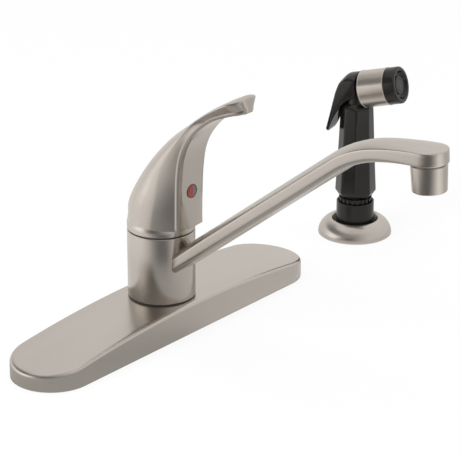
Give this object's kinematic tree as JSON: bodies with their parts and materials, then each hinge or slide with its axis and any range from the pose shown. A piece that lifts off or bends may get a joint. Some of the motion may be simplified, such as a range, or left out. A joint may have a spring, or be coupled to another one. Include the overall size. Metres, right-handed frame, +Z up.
{
  "type": "side spray kitchen faucet",
  "caption": "Single-lever kitchen faucet on a long deck plate, with a low arched swivel spout and a separate pull-up hand spray in a deck holder.",
  "frame": {"origin": "on the sink deck, on the axis of the middle hole and of the spout hub", "axes": "+X along the row of sink holes towards the hand spray, -Y towards the user, +Z up"},
  "size_m": [0.3567, 0.2402, 0.2097],
  "materials": {
    "nickel": "satin brushed nickel",
    "black_plastic": "glossy black",
    "grey_plastic": "matte dark grey",
    "indicator": "glossy, half red and half blue-grey",
    "brass": "turned",
    "copper": "drawn copper tube",
    "steel": "plain",
    "rubber": "matte",
    "ceramic": "lapped ceramic"
  },
  "bodies": {
    "root": {"base_plate": "nickel", "deck_gasket": "rubber", "under_plate": "grey_plastic", "shank_left": "grey_plastic", "shank_right": "grey_plastic", "washer_left": "steel", "washer_right": "steel", "wing_nut_left": "grey_plastic", "wing_nut_right": "grey_plastic", "valve_body": "brass", "inlet_tube_hot": "copper", "inlet_tube_cold": "copper", "inlet_seal_hot": "rubber", "inlet_seal_cold": "rubber", "spray_outlet": "brass", "spout_seal_low": "rubber", "spout_seal_high": "rubber", "glide_ring_low": "grey_plastic", "glide_ring_high": "grey_plastic", "fixed_disc": "ceramic", "cartridge_housing": "grey_plastic", "bonnet_nut": "brass", "cap": "nickel", "spray_flange": "nickel", "spray_holder": "black_plastic", "spray_washer": "steel", "spray_nut": "grey_plastic"},
    "spout": {"spout_hub": "nickel", "spout_arm": "nickel", "aerator_shell": "nickel", "aerator_insert": "grey_plastic", "aerator_washer": "rubber"},
    "rotor": {"cartridge_rotor": "grey_plastic", "lever_pin": "steel"},
    "lever": {"handle": "nickel", "lever_stem": "steel", "handle_screw": "steel", "handle_button": "indicator"},
    "disc": {"moving_disc": "ceramic"},
    "shuttle": {"diverter": "brass"},
    "hose_end": {"hose_coupling": "black_plastic"},
    "spray": {"spray_grip": "black_plastic", "spray_sleeve": "nickel", "nozzle_ring": "black_plastic", "spray_face": "grey_plastic", "thumb_pin": "steel"},
    "trigger": {"thumb_lever": "black_plastic"},
    "spray_stem": {"spray_valve": "brass"}
  },
  "joints": [
    {"name": "spout_swivel", "type": "hinge", "parent": "root", "child": "spout", "pos_m": [0, 0, 0.043], "axis": [0, 0, 1], "range_deg": [-60, 60]},
    {"name": "handle_temperature", "type": "hinge", "parent": "root", "child": "rotor", "pos_m": [0, 0, 0.063], "axis": [0, 0, 1], "range_deg": [-45, 45]},
    {"name": "handle_lift", "type": "hinge", "parent": "rotor", "child": "lever", "pos_m": [0, 0, 0.071], "axis": [-1, 0, 0], "range_deg": [0, 24]},
    {"name": "disc_slide", "type": "slide", "parent": "rotor", "child": "disc", "axis": [0, -1, 0], "range_m": [0, 0.004]},
    {"name": "diverter_slide", "type": "slide", "parent": "root", "child": "shuttle", "axis": [0, 1, 0], "range_m": [0, 0.003]},
    {"name": "spray_lift", "type": "slide", "parent": "root", "child": "hose_end", "axis": [0, 0, 1], "range_m": [0, 0.15]},
    {"name": "spray_turn", "type": "hinge", "parent": "hose_end", "child": "spray", "pos_m": [0.2032, -0.0023, 0.06], "axis": [0, 0, 1], "continuous": true},
    {"name": "thumb_press", "type": "hinge", "parent": "spray", "child": "trigger", "pos_m": [0.20297, -0.00133, 0.1075], "axis": [-0.9744, -0.225, 0], "range_deg": [0, 6], "stiffness_Nm_per_rad": 1.5, "springref_deg": -4.58},
    {"name": "valve_push", "type": "slide", "parent": "spray", "child": "spray_stem", "axis": [0.225, -0.9744, 0], "range_m": [0, 0.001]}
  ],
  "couplings": [
    {"joint": "disc_slide", "follows": "handle_lift", "m_per_rad": 0.00942},
    {"joint": "valve_push", "follows": "thumb_press", "m_per_rad": 0.0095}
  ]
}
